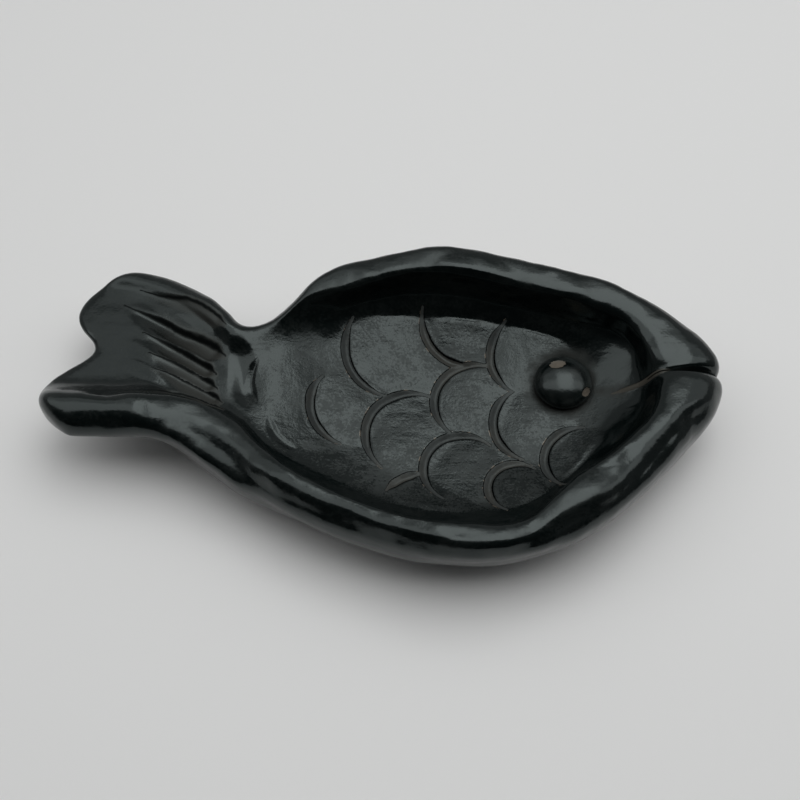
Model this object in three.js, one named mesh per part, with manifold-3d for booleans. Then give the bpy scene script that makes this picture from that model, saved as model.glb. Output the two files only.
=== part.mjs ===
// Fish-shaped trinket dish, hand-built in black clay: a floor slab, two rim walls, a tail fin and an eye.
// Each is its own lump of clay, with a thin slip line between neighbours.
// Millimetres, +Z up, +X towards the mouth, origin in the middle of the flat underside.
import * as THREE from "three";
import { LoftGeometry } from "three/addons/geometries/LoftGeometry.js";
import { mergeVertices } from "three/addons/utils/BufferGeometryUtils.js";
import Module from "manifold-3d";

const wasm = await Module();
wasm.setup();

// Slip line between neighbouring pieces
const SLIP_GAP = 0.3;

// Plan of the bowl: the tail root is a straight cut across, the mouth a slanting slit
const ROOT_X = -55;
const MOUTH_X = 60;
const MOUTH_Y = 6;
const MOUTH_SLANT = 3;
const MOUTH_SLIT = 0.9;

// Widest points of the hull, and where along the length they are
const BACK_WIDTH = 43.4;
const BACK_CROWN_X = -2;
const BELLY_WIDTH = 45.7;
const BELLY_CROWN_X = 9;

// How far the lips reach out past the mouth, and how far in the foot of the wall lies from the fullest line
// of the hull and from the mouth
const LIP_REACH = 10.4;
const BACK_FOOT_RUN = 14.4;
const BELLY_FOOT_RUN = 17.2;
const LIP_ROOT = 20;

// Height of the fullest line as a share of the wall, from the root to the mouth, and how far the hull
// draws in below it for each millimetre of height
const FULL_LINE = [0.12, 0.4, 0.6, 0.55, 0.35];
const UNDERCUT = 0.5;

// Rim heights, and the roll along the top of the walls
const RIM_HEIGHT = 27.6;
const ROOT_RIM_HEIGHT = 23;
const LIP_HEIGHT = 25.5;
const LIP_ROUND = 2;
const ROLL_DROP = 3.6;
const ROLL_SQUARE = 0.6;
const SHOULDER_SQUARE = 0.85;

// Finger dents along the rim
const DENT_COUNT = 4.4;
const DENT_DEPTH = 0.6;

// Floor: thin in the middle, rising to the walls, the tail root and the mouth
const FLOOR_THICKNESS = 8;
const SIDE_RISE = 3.4;
const ROOT_RISE = 9.5;
const MOUTH_RISE = 2.5;

// Flat underside, and the hull rising from it to the tail root
const BASE_REAR_X = -40;
const BASE_FRONT_X = 40;
const BASE_WIDTH = 46;
const KEEL_ROOT_Z = 4;

// Tail fin
const LOWER_LOBE = 54.5;
const UPPER_LOBE = 44.5;
const FORK_DEPTH = 10.2;
const LOWER_CORNER = 13;
const UPPER_CORNER = 12;
const TAIL_TOP_Y = 41;
const TAIL_LOW_Y = -11.5;
const TAIL_EDGE_Z = 20.5;
const LOWER_ROLL = 7.5;
const UPPER_ROLL = 3;
const TAIL_BELLY = 4;
const TAIL_TILT = 4;
const WEB_RISE = 1;

// Marks cut in the clay
const SCALE_GROOVE_WIDTH = 3.2;
const SCALE_GROOVE_DEPTH = 0.8;
const RAY_COUNT = 5;
const RAY_WIDTH = 3.4;
const RAY_DEPTH = 1.3;
const RAY_START = 5;
const RAY_LENGTH = 25;

// Eye pellet
const EYE_X = 29.7;
const EYE_Y = 9.5;
const EYE_DIAMETER = 15.4;
const EYE_HEIGHT = 9;
const EYE_SUNK = 2.6;

// Scale arcs: centre x, centre y, radius, first and last angle in degrees
const SCALE_ARCS = [
  [-15, 19.6, 13.8, 150, 258],
  [4.7, 28.3, 12.7, 185, 280],
  [6.5, 4.5, 11.4, 66, 231],
  [2.4, -15.4, 10.4, 48, 232],
  [-10.3, -5.5, 12.8, 71, 228],
  [-26.1, 2.3, 11.5, 137, 252],
  [-43, 6.6, 10.2, 140, 226],
  [22.5, 18, 11.9, 132, 236],
  [21.8, -1.7, 11.1, 122, 250],
  [33.1, -13.1, 9.7, 84, 236],
  [16.1, -21.1, 7.7, 52, 232],
];

const mix = THREE.MathUtils.lerp;
const ease = (value) => THREE.MathUtils.smoothstep(value, 0, 1);
const radians = THREE.MathUtils.degToRad;
const share = (index, count) => index / (count - 1);
const plan = (x, y) => new THREE.Vector2(x, y);
const lift = (point, z) => new THREE.Vector3(point.x, point.y, z);

// Direction of the mouth slit, pointing out of the mouth, and the direction across it
const SLIT_ALONG = plan(Math.cos(radians(MOUTH_SLANT)), Math.sin(radians(MOUTH_SLANT)));
const SLIT_ACROSS = plan(-SLIT_ALONG.y, SLIT_ALONG.x);

// A line in plan from the tail root over the crown to the mouth, read from 0 to 1.
// outward is 1 on the back and -1 on the belly; slit is the half width left at the mouth.
function rail({ rootY, crown, mouthReach, outward, pulls, slit }) {
  const root = plan(ROOT_X, rootY);
  const mouth = plan(MOUTH_X, MOUTH_Y)
    .addScaledVector(SLIT_ALONG, mouthReach)
    .addScaledVector(SLIT_ACROSS, outward * slit);
  const rearRun = crown.x - root.x;
  const frontRun = mouth.x - crown.x;
  const rear = new THREE.CubicBezierCurve(
    root,
    plan(root.x + rearRun * pulls.root, root.y),
    plan(crown.x - rearRun * pulls.crownRear, crown.y),
    crown,
  );
  const front = new THREE.CubicBezierCurve(
    crown,
    plan(crown.x + frontRun * pulls.crownFront, crown.y),
    mouth.clone().addScaledVector(SLIT_ACROSS, outward * Math.abs(crown.y) * pulls.mouth),
    mouth,
  );
  return (s) => (s < 0.5 ? rear.getPoint(s * 2) : front.getPoint(s * 2 - 1));
}

// The two lines of a wall: the fullest line of the hull and the foot inside the bowl
function wallRails(side, slit) {
  const shared = { outward: side.outward, slit };
  return {
    hull: rail({
      ...shared,
      rootY: side.rootY.hull,
      crown: plan(side.crownX, side.outward * side.width),
      mouthReach: LIP_REACH,
      pulls: side.pulls.hull,
    }),
    foot: rail({
      ...shared,
      rootY: side.rootY.foot,
      crown: plan(side.footCrownX, side.outward * (side.width - side.footRun)),
      mouthReach: -LIP_ROOT,
      pulls: side.pulls.foot,
    }),
  };
}

// rimOut and rimIn are the widths of the rim outside and inside its crest, from the root to the mouth
const BACK = {
  outward: 1,
  width: BACK_WIDTH,
  crownX: BACK_CROWN_X,
  footRun: BACK_FOOT_RUN,
  footCrownX: -12,
  rootY: { hull: 22, foot: 5.5 },
  pulls: {
    hull: { root: 0.14, crownRear: 0.66, crownFront: 0.42, mouth: 0.37 },
    foot: { root: 0.05, crownRear: 0.75, crownFront: 0.66, mouth: 0.5 },
  },
  rimOut: [4.5, 4.5, 4, 5, 11],
  rimIn: [3.4, 8, 5, 6, 9],
  dentPhase: 0.3,
  gentleRoot: 0.28,
};

const BELLY = {
  outward: -1,
  width: BELLY_WIDTH,
  crownX: BELLY_CROWN_X,
  footRun: BELLY_FOOT_RUN,
  footCrownX: 8,
  rootY: { hull: -25, foot: -4.5 },
  pulls: {
    hull: { root: 0.1, crownRear: 0.62, crownFront: 0.38, mouth: 0.3 },
    foot: { root: 0.05, crownRear: 0.72, crownFront: 0.5, mouth: 0.42 },
  },
  rimOut: [15.5, 9.2, 4.7, 11, 14],
  rimIn: [3.4, 3, 4.5, 3.5, 5],
  dentPhase: 2.2,
  gentleRoot: 0.01,
};

// A value set at even stations from the root to the mouth, eased between them
function between(sizes, s) {
  const spot = Math.min(s, 1 - Number.EPSILON) * (sizes.length - 1);
  const from = Math.floor(spot);
  return mix(sizes[from], sizes[from + 1], ease(spot - from));
}

// Height of the dished floor
function floorTop(x, y) {
  const towardsRoot = Math.max(0, x / ROOT_X);
  const towardsMouth = Math.max(0, x / MOUTH_X);
  const towardsSide = y / (BACK_WIDTH - BACK_FOOT_RUN);
  const dish = SIDE_RISE * towardsSide ** 2;
  const ends = ROOT_RISE * towardsRoot ** 2 + MOUTH_RISE * towardsMouth ** 2;
  return FLOOR_THICKNESS + dish + ends;
}

// The walls stand on a ledge of the floor slab, which is as high as the floor at their foot
const ledgeHeight = (rails, s) => {
  const foot = rails.foot(s);
  return floorTop(foot.x, foot.y);
};
const rimHeight = (s) => between([ROOT_RIM_HEIGHT, RIM_HEIGHT, LIP_HEIGHT], s);
const fullHeight = (rails, s) => mix(ledgeHeight(rails, s), rimHeight(s), between(FULL_LINE, s));
const outwardAt = (rails, s) => rails.hull(s).sub(rails.foot(s)).normalize();

// Outer edge of the ledge, where the hull has drawn in below its fullest line
function ledgeEdge(rails, s) {
  const drawnIn = UNDERCUT * (fullHeight(rails, s) - ledgeHeight(rails, s));
  return rails.hull(s).addScaledVector(outwardAt(rails, s), -drawnIn);
}

// Rows along a wall, the last few in the stretch where the lip rounds off
const WALL_STEPS = 33;
const LIP_STRETCH = 0.045;
const WALL_ROWS = [
  ...Array.from({ length: WALL_STEPS }, (_, i) => share(i, WALL_STEPS) * (1 - LIP_STRETCH)),
  ...[0.5, 0.8, 1].map((part) => 1 - LIP_STRETCH * (1 - part)),
];

// Wall sections, outer foot first and inner foot last: up the flank to the fullest line, a round shoulder
// to the crest, the inner half of the roll, and the inside, which runs out into the floor
const FLANK_POINTS = 4;
const SHOULDER_POINTS = 9;
const ROLL_POINTS = 5;
const INNER_POINTS = 5;
const INNER_DROP = 0.55;
const INNER_RUN_OUT = 0.3;
const INNER_RUN_HEIGHT = 0.14;

function wallSection(side, rails, s) {
  const foot = rails.foot(s);
  const outward = outwardAt(rails, s);
  const base = ledgeHeight(rails, s) + SLIP_GAP;
  // The lips round off where they meet at the slit
  const towardsLip = Math.max(0, 1 - (1 - s) / LIP_STRETCH);
  const lipRound = LIP_ROUND * (1 - Math.sqrt(1 - towardsLip ** 2));
  const dent = DENT_DEPTH * Math.sin(Math.PI * s) * Math.sin(2 * Math.PI * DENT_COUNT * s + side.dentPhase);
  const height = rimHeight(s) + dent - lipRound;
  const rimIn = between(side.rimIn, s) + dent;
  const full = rails.hull(s).addScaledVector(outward, dent - lipRound);
  const crest = rails.hull(s).addScaledVector(outward, dent - between(side.rimOut, s));
  const edge = ledgeEdge(rails, s).addScaledVector(outward, -lipRound);
  const quarter = (index, count) => (Math.PI / 2) * share(index, count);

  const fullZ = fullHeight(rails, s);
  const flank = Array.from({ length: FLANK_POINTS }, (_, i) => {
    const below = 1 - share(i, FLANK_POINTS);
    return lift(full.clone().lerp(edge, below ** 2), mix(fullZ, base, below));
  });
  const shoulder = Array.from({ length: SHOULDER_POINTS }, (_, i) => {
    const turn = quarter(i, SHOULDER_POINTS);
    const spot = crest.clone().lerp(full, Math.cos(turn) ** SHOULDER_SQUARE);
    return lift(spot, mix(fullZ, height, Math.sin(turn) ** SHOULDER_SQUARE));
  });
  const rollBase = height - ROLL_DROP;
  const roll = Array.from({ length: ROLL_POINTS }, (_, i) => {
    const turn = quarter(i, ROLL_POINTS);
    const spot = crest.clone().addScaledVector(outward, -rimIn * Math.sin(turn) ** ROLL_SQUARE);
    return lift(spot, rollBase + ROLL_DROP * Math.max(0, Math.cos(turn)) ** ROLL_SQUARE);
  });

  // Near the root the inside is a gentle slope, and further on it stands up
  const inner = lift(foot, base);
  const innerTop = roll[ROLL_POINTS - 1];
  const rise = rollBase - base;
  const gentle = 1 - ease(s / side.gentleRoot);
  const slope = (part) => innerTop.clone().lerp(inner, part);
  const stand = innerTop.clone().setZ(rollBase - rise * INNER_DROP);
  const runOut = inner.clone().lerp(innerTop, INNER_RUN_OUT).setZ(base + rise * INNER_RUN_HEIGHT);
  const inside = new THREE.CubicBezierCurve3(
    innerTop,
    stand.lerp(slope(1 / 3), gentle),
    runOut.lerp(slope(2 / 3), gentle),
    inner,
  );
  return [...flank, ...shoulder.slice(1), ...roll.slice(1), ...inside.getPoints(INNER_POINTS).slice(1)];
}

function wallGeometry(side) {
  const rails = wallRails(side, MOUTH_SLIT / 2);
  const sections = WALL_ROWS.map((s) => {
    const section = wallSection(side, rails, s);
    return side.outward > 0 ? section : section.reverse();
  });
  return new LoftGeometry(sections, { capStart: true, capEnd: true });
}

// Floor slab sections run from the back ledge over the dished top to the belly ledge and under the hull
const FLOOR_STEPS = 33;
const FLOOR_ROWS = Array.from({ length: FLOOR_STEPS }, (_, i) => share(i, FLOOR_STEPS));
const TOP_POINTS = 13;
const WIDEST_FLAT = 0.8;
const HULL_STEPS = [0.9, 0.75, 0.6, 0.42, 0.22, 0];
const BILGE_CURVE = 1.7;
const FLOOR_RAILS = { back: wallRails(BACK, 0), belly: wallRails(BELLY, 0) };

const NOSE_X = ledgeEdge(FLOOR_RAILS.back, 1).x;

function hullBottom(x, ledge) {
  if (x < BASE_REAR_X) return KEEL_ROOT_Z * ((BASE_REAR_X - x) / (BASE_REAR_X - ROOT_X)) ** 2;
  if (x > BASE_FRONT_X) return ledge * Math.min(1, (x - BASE_FRONT_X) / (NOSE_X - BASE_FRONT_X)) ** 2;
  return 0;
}

function floorSection(s) {
  const { back, belly } = FLOOR_RAILS;
  const backLedge = ledgeHeight(back, s);
  const bellyLedge = ledgeHeight(belly, s);
  const backEdge = ledgeEdge(back, s);
  const bellyEdge = ledgeEdge(belly, s);
  const points = [lift(backEdge, backLedge)];
  for (let i = 0; i < TOP_POINTS; i++) {
    const across = back.foot(s).lerp(belly.foot(s), share(i, TOP_POINTS));
    points.push(lift(across, floorTop(across.x, across.y)));
  }
  points.push(lift(bellyEdge, bellyLedge));
  // Under the hull: a flat strip in the middle and a round bilge on each side
  const halfWidth = bellyEdge.distanceTo(backEdge) / 2;
  const flat = halfWidth > 0 ? Math.min(WIDEST_FLAT, BASE_WIDTH / 2 / halfWidth) : 0;
  const steps = [
    ...HULL_STEPS.map((bilge) => ({ bilge, sideways: -1 })),
    ...HULL_STEPS.toReversed().map((bilge) => ({ bilge, sideways: 1 })),
  ];
  for (const { bilge, sideways } of steps) {
    const outwards = mix(flat, 1, bilge);
    const across = bellyEdge.clone().lerp(backEdge, (1 + sideways * outwards) / 2);
    const ledge = sideways > 0 ? backLedge : bellyLedge;
    const bottom = hullBottom((bellyEdge.x + backEdge.x) / 2, ledge);
    points.push(lift(across, mix(bottom, ledge, bilge ** BILGE_CURVE)));
  }
  return points;
}

function floorGeometry() {
  return new LoftGeometry(FLOOR_ROWS.map(floorSection), { capStart: true });
}

// The tail starts with the shape of the bowl's open end and spreads into a fan
const TAIL_STEPS = 21;
const TAIL_ROWS = Array.from({ length: TAIL_STEPS }, (_, i) => {
  return Math.sin((Math.PI / 2) * share(i, TAIL_STEPS));
});
const TAIL_SPREAD = 0.6;
const TIP_ROUNDING = 0.1;
const ROLL_FOOT = 2.2;
const FORK_ACROSS = 0.5;
const FORK_SPREAD = 0.14;

// The bowl's end over the top, from the belly hull to the back hull; each point knows which part of
// the fan it becomes, and how far along that part it is
function tailRootPoints() {
  const floorEnd = floorSection(0);
  const belly = wallSection(BELLY, FLOOR_RAILS.belly, 0).slice(1, -1);
  const back = wallSection(BACK, FLOOR_RAILS.back, 0).slice(1, -1).reverse();
  const crestIndex = FLANK_POINTS + SHOULDER_POINTS - 3;
  const groups = [
    ["lowerOuter", [floorEnd[TOP_POINTS + 1], ...belly.slice(0, crestIndex + 1)]],
    ["lowerInner", belly.slice(crestIndex + 1)],
    ["web", floorEnd.slice(1, TOP_POINTS + 1).reverse()],
    ["upperInner", back.slice(0, back.length - crestIndex - 1)],
    ["upperOuter", [...back.slice(back.length - crestIndex - 1), floorEnd[0]]],
  ];
  return groups.flatMap(([part, points]) =>
    points.map((point, i) => ({ part, point, along: share(i, points.length) })),
  );
}

// Height of the bowl's end underneath, at a share of the way across from the belly to the back
function keelHeight(across) {
  const under = floorSection(0).slice(TOP_POINTS + 1);
  under.push(floorSection(0)[0]);
  const y = mix(under[0].y, under[under.length - 1].y, across);
  const next = Math.max(1, under.findIndex((point) => point.y >= y));
  const [from, to] = [under[next - 1], under[next]];
  return mix(from.z, to.z, (y - from.y) / (to.y - from.y));
}

// Where a point of the end goes on the fan, as a distance across it and a height about its middle
function fanPoint(part, along, low, high) {
  const quarter = (along * Math.PI) / 2;
  const lowerCrest = low + LOWER_ROLL;
  const upperCrest = high - UPPER_ROLL;
  const lowerFoot = low + LOWER_ROLL * ROLL_FOOT;
  const upperFoot = high - UPPER_ROLL * ROLL_FOOT;
  // The first and last points of the web and the rolls keep clear of each other
  const down = mix(0.15, 1, along);
  const up = mix(0, 0.85, along);
  switch (part) {
    case "lowerOuter":
      return [lowerCrest - LOWER_ROLL * Math.cos(quarter), LOWER_ROLL * Math.sin(quarter)];
    case "lowerInner":
      return [mix(lowerCrest, lowerFoot, down), mix(LOWER_ROLL, WEB_RISE, ease(down))];
    case "web":
      return [mix(lowerFoot, upperFoot, mix(0.05, 0.95, along)), WEB_RISE];
    case "upperInner":
      return [mix(upperFoot, upperCrest, up), mix(WEB_RISE, UPPER_ROLL, ease(up))];
    default:
      return [upperCrest + UPPER_ROLL * Math.sin(quarter), UPPER_ROLL * Math.cos(quarter)];
  }
}

// Length of the fan from root to tip, with the fork and the rounded corners
function lobeLength(across) {
  const fork = FORK_DEPTH * Math.exp(-(((across - FORK_ACROSS) / FORK_SPREAD) ** 2));
  const corner = mix(LOWER_CORNER, UPPER_CORNER, across) * Math.abs(2 * across - 1) ** 4;
  return mix(LOWER_LOBE, UPPER_LOBE, across) - fork - corner;
}

function tailGeometry() {
  const rootPoints = tailRootPoints();
  const rootLow = rootPoints[0].point.y;
  const rootHigh = rootPoints.at(-1).point.y;
  const sections = TAIL_ROWS.map((u) => {
    const spread = ease(u / TAIL_SPREAD);
    const low = mix(rootLow, TAIL_LOW_Y, Math.sin((Math.PI / 2) * Math.min(1, u / TAIL_SPREAD)));
    const high = mix(rootHigh, TAIL_TOP_Y, 1 - (1 - u) ** 2);
    const widened = (y) => mix(low, high, (y - rootLow) / (rootHigh - rootLow));
    const towardsTip = Math.max(0, 1 - (1 - u) / TIP_ROUNDING);
    const thickness = Math.sqrt(1 - towardsTip ** 2);
    const over = [];
    const under = [];
    for (const { part, point, along } of rootPoints) {
      const [y, rise] = fanPoint(part, along, low, high);
      const across = (y - low) / (high - low);
      const x = ROOT_X - SLIP_GAP - u * lobeLength(across);
      const belly = -TAIL_BELLY * Math.sqrt(1 - Math.abs(2 * across - 1) ** 3);
      const edgeZ = TAIL_EDGE_Z - TAIL_TILT * across;
      const overZ = mix(point.z, edgeZ + rise * thickness, spread);
      const underZ = mix(keelHeight(across), edgeZ + belly * thickness, spread);
      over.push(new THREE.Vector3(x, mix(widened(point.y), y, spread), overZ));
      under.push(new THREE.Vector3(x, y, underZ));
    }
    return [...over, ...under.slice(1, -1).reverse()];
  });
  return new LoftGeometry(sections, { capStart: true });
}

// A round tool drawn along a path, thin at both ends
const TOOL_SIDES = 8;
const TOOL_END = 0.72;

function drawnTool(path, radius) {
  const sections = path.map((point, i) => {
    const before = path[Math.max(0, i - 1)];
    const after = path[Math.min(path.length - 1, i + 1)];
    const along = after.clone().sub(before).normalize();
    const sideways = new THREE.Vector3().crossVectors(new THREE.Vector3(0, 0, 1), along).normalize();
    const upwards = new THREE.Vector3().crossVectors(along, sideways);
    const thin = radius * mix(TOOL_END, 1, Math.sin(Math.PI * share(i, path.length)) ** 0.5);
    return Array.from({ length: TOOL_SIDES }, (_, k) => {
      const angle = (2 * Math.PI * (k + 0.5)) / TOOL_SIDES;
      return point
        .clone()
        .addScaledVector(sideways, thin * Math.cos(angle))
        .addScaledVector(upwards, thin * Math.sin(angle));
    });
  });
  return new LoftGeometry(sections, { capStart: true, capEnd: true });
}

// Radius of a round tool that cuts a groove of this width and depth
const toolRadius = (width, depth) => (width ** 2 / 4 + depth ** 2) / (2 * depth);

function scaleTools() {
  const radius = toolRadius(SCALE_GROOVE_WIDTH, SCALE_GROOVE_DEPTH);
  const steps = 12;
  return SCALE_ARCS.map(([x, y, arcRadius, first, last]) => {
    const path = Array.from({ length: steps }, (_, i) => {
      const angle = radians(mix(first, last, share(i, steps)));
      const px = x + arcRadius * Math.cos(angle);
      const py = y + arcRadius * Math.sin(angle);
      return new THREE.Vector3(px, py, floorTop(px, py) + radius - SCALE_GROOVE_DEPTH);
    });
    return drawnTool(path, radius);
  });
}

// The rays fan out from the tail root towards the fork, over these shares of the root and of the fan
const RAY_ROOT_FAN = [0.49, 0.85];
const RAY_TIP_FAN = [0.38, 0.83];

function rayTools(tail) {
  const radius = toolRadius(RAY_WIDTH, RAY_DEPTH);
  const steps = 9;
  const ray = new THREE.Raycaster();
  const mesh = new THREE.Mesh(tail, new THREE.MeshBasicMaterial({ side: THREE.DoubleSide }));
  return Array.from({ length: RAY_COUNT }, (_, k) => {
    const turn = share(k, RAY_COUNT);
    const fromY = mix(BELLY.rootY.hull, BACK.rootY.hull, mix(...RAY_ROOT_FAN, turn));
    const toY = mix(TAIL_LOW_Y, TAIL_TOP_Y, mix(...RAY_TIP_FAN, turn));
    const from = plan(ROOT_X - RAY_START, fromY);
    const to = plan(ROOT_X - RAY_START - RAY_LENGTH, toY);
    const path = Array.from({ length: steps }, (_, i) => {
      const spot = from.clone().lerp(to, share(i, steps));
      ray.set(lift(spot, RIM_HEIGHT * 2), new THREE.Vector3(0, 0, -1));
      const [hit] = ray.intersectObject(mesh);
      return lift(spot, hit.point.z + radius - RAY_DEPTH);
    });
    return drawnTool(path, radius);
  });
}

function eyeGeometry(allowance) {
  const eye = new THREE.SphereGeometry(1, 28, 14);
  eye.rotateX(Math.PI / 2);
  eye.scale(EYE_DIAMETER / 2 + allowance, EYE_DIAMETER / 2 + allowance, EYE_HEIGHT / 2 + allowance);
  eye.translate(EYE_X, EYE_Y, floorTop(EYE_X, EYE_Y) + EYE_HEIGHT / 2 - EYE_SUNK);
  return eye;
}

// Joined vertices only, with the triangles that closed up to nothing left out
function welded(geometry) {
  const bare = new THREE.BufferGeometry();
  bare.setAttribute("position", geometry.getAttribute("position"));
  bare.setIndex(geometry.getIndex());
  const joined = mergeVertices(bare, 1e-4);
  const corners = joined.getIndex().array;
  const kept = [];
  for (let i = 0; i < corners.length; i += 3) {
    const [a, b, c] = [corners[i], corners[i + 1], corners[i + 2]];
    if (a !== b && b !== c && c !== a) kept.push(a, b, c);
  }
  joined.setIndex(kept);
  return joined;
}

function solid(geometry) {
  const joined = welded(geometry);
  return new wasm.Manifold(
    new wasm.Mesh({
      numProp: 3,
      vertProperties: new Float32Array(joined.getAttribute("position").array),
      triVerts: new Uint32Array(joined.getIndex().array),
    }),
  );
}

function cut(geometry, tools) {
  let body = solid(geometry);
  for (const tool of tools) body = body.subtract(solid(tool));
  const mesh = body.getMesh();
  const result = new THREE.BufferGeometry();
  result.setAttribute("position", new THREE.Float32BufferAttribute(mesh.vertProperties, 3));
  result.setIndex(new THREE.Uint32BufferAttribute(mesh.triVerts, 1));
  return result;
}

function piece(name, geometry, colour) {
  const body = welded(geometry).toNonIndexed();
  body.computeVertexNormals();
  const mesh = new THREE.Mesh(body, new THREE.MeshStandardMaterial({ color: colour, roughness: 0.35 }));
  mesh.name = name;
  return mesh;
}

const CLAY = 0x1d1f1f;
const POLISHED_CLAY = 0x121313;
const tail = tailGeometry();

const dish = new THREE.Group();
dish.name = "fish_trinket_dish";
dish.add(
  piece("floor_slab", cut(floorGeometry(), [...scaleTools(), eyeGeometry(SLIP_GAP)]), CLAY),
  piece("back_wall", wallGeometry(BACK), CLAY),
  piece("belly_wall", wallGeometry(BELLY), CLAY),
  piece("tail_fin", cut(tail, rayTools(tail)), CLAY),
  piece("eye", eyeGeometry(0), POLISHED_CLAY),
);

export default dish;
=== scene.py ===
"""Looks of the fish-shaped trinket dish: hand-built black clay, burnished and smoke fired.

The CAD pieces are fused and evened out into one skin of clay. The marks of fingers and tools are pressed
into it, and it is then parted again into the floor, the two walls and the tail, which meet without a gap.
Lengths are in millimetres until a mesh is finished.
"""
import math
from collections import Counter

import bmesh
import bpy
import numpy as np
from mathutils import Matrix, Vector, bvhtree, noise
from mathutils.interpolate import poly_3d_calc


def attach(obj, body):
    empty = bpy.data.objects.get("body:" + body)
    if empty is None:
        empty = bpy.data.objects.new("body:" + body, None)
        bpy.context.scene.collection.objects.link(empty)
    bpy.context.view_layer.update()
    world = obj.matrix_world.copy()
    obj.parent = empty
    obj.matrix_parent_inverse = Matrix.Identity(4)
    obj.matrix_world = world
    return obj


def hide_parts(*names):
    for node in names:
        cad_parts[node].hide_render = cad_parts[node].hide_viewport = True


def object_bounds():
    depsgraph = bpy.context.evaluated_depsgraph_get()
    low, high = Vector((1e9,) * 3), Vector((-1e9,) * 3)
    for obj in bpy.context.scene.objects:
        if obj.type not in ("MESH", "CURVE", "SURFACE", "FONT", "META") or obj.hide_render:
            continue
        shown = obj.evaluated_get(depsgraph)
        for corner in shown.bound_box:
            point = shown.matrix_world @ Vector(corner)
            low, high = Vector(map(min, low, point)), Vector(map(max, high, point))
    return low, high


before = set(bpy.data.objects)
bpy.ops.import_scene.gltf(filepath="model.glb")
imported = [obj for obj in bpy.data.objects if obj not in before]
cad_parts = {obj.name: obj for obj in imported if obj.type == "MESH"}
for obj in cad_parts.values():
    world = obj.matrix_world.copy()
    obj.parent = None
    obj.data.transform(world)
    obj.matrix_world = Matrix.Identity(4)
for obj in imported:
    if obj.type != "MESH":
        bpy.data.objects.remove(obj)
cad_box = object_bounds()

# In the values below, "facing" is the height of the normal: 1 faces straight up and 0 sideways

MM = 0.001
CLAY_NODES = ("floor_slab", "back_wall", "belly_wall", "tail_fin")

# Corners of a CAD mesh, which is in metres, are the same within this distance
SAME_CORNER = 1e-6

# Fusing: each CAD piece swells to close the slip lines, and the skin shrinks back by as much
SWELL = 0.24
VOXEL = 0.46
SMOOTH_ROUNDS = 26
SMOOTH_SHARE = 0.5
FILL_ROUNDS = 6
FILL_FACING = 0.3

# Blending: below the rims, and all round the tail root, the joins are rubbed out with more rounds
BLEND_ROUNDS = 70
BLEND_BELOW_Z = (15, 20)
BLEND_ROOT_X = -55
BLEND_ROOT_REACH = (5, 10)

# Where the pieces part: the tail root, and the slanting line of the mouth that parts the two walls
TAIL_CUT_X = -55.15
MOUTH_POINT = (60, 6)
MOUTH_SLANT = math.radians(3)
WALL_MARGIN = 1.0
WALLS_FROM_Z = 17.5
WALLS_OVERLAP = 0.01
FAR = 300

# Points nearer to each other than this are joined after the cuts
CRUMB = 0.002

# Two points are the same within the first distance, and a point is on the skin within the second.
# The span keeps the three lengths of a place apart in one whole number
SAME_PLACE = 0.001
ON_SKIN = 0.02
KEY_SPAN = 1_000_000

# The slit between the lips, from the outside in to where slip closes it
SLIT_INNER_X = 54.5
SLIT_OUTER_X = 80
SLIT_WIDTH = 0.6
SLIT_BOTTOM_Z = 16
SLIT_TOP_Z = 40

# Hand-made unevenness: wavelength and height; the rims are pinched more unevenly
LUMPS = [(17, 0.42), (11, 0.16), (6.5, 0.12), (3.2, 0.04)]
RIM_UNEVENNESS = 1.1
RIM_FROM_Z = (19, 24)
BASE_KEPT_FLAT = 0.6
BOX_MARGIN = 0.01

# The rims are pressed: side of the fish, depth, distances outward from the crest between which the press
# grows, heights between which it grows, and the length of the rim that it takes in
RIM_PRESSES = [
    ("belly", 1.4, (0.5, 5.0), (12, 21), (-85, -50, 60, 68)),
    ("back", 1.3, (4.0, -5.0), (16, 23), (-58, -48, -34, -18)),
]

# The inner edge of the back rim leans over the bowl: how far, and where it grows as in the presses
LEAN_OVER = ("back", 1.7, (2.0, -2.0), (12, 21), (-42, -28, 36, 52))

# The crest of a rim is looked for step by step along the fish, in the top layer of each step
CREST_STEP = 4
CREST_LAYER = 0.4

# Corners inside the bowl that are rubbed out further: place, radius and rounds
EASED_CORNERS = [((-42, 18), 19, 700), ((46, -2), 17, 200)]
EASED_BELOW_Z = (27, 22)
EASED_FACING = (-0.2, 0.1)

# The floor is dished: it rises towards its edge, which is an oval with this middle and these radii, and a
# little past it
DISH_MIDDLE = (-2, 0)
DISH_RADII = (44, 30)
DISH_FLAT_SHARE = 0.45
DISH_RISE = 1.6
DISH_PAST_EDGE = 1.2
DISH_FACING = (0.3, 0.7)
DISH_BELOW_Z = (22, 12)
DISH_FROM_X = (-56, -48)

# Each scale is a little pillow
PILLOW_HEIGHT = 0.85
PILLOW_FACING = (0.7, 0.9)

# Marks: where the left and the right slope start and end, in half widths across
SCALE_SLOPES = ((1.05, 0.6), (-1.1, 0.45))
RAY_SLOPES = ((1.1, 0.4), (-2.3, 0.3))
ROUND_SLOPES = ((1, 0), (-1, 0))

# The shares of a mark's length over which it deepens and runs out, and the share of its width at its tips
EVEN_FADE = (0.3, 0.3)
RAY_FADE = (0.45, 0.12)
LIPS_FADE = (0.5, 0.01)
TIP_WIDTH = 0.35

# How far across a mark is felt, in half widths, and where its side counts in full
FAR_ACROSS = 2.5
SIDE_FULL = 0.5
MARKS_FACING = (0.2, 0.5)

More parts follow.
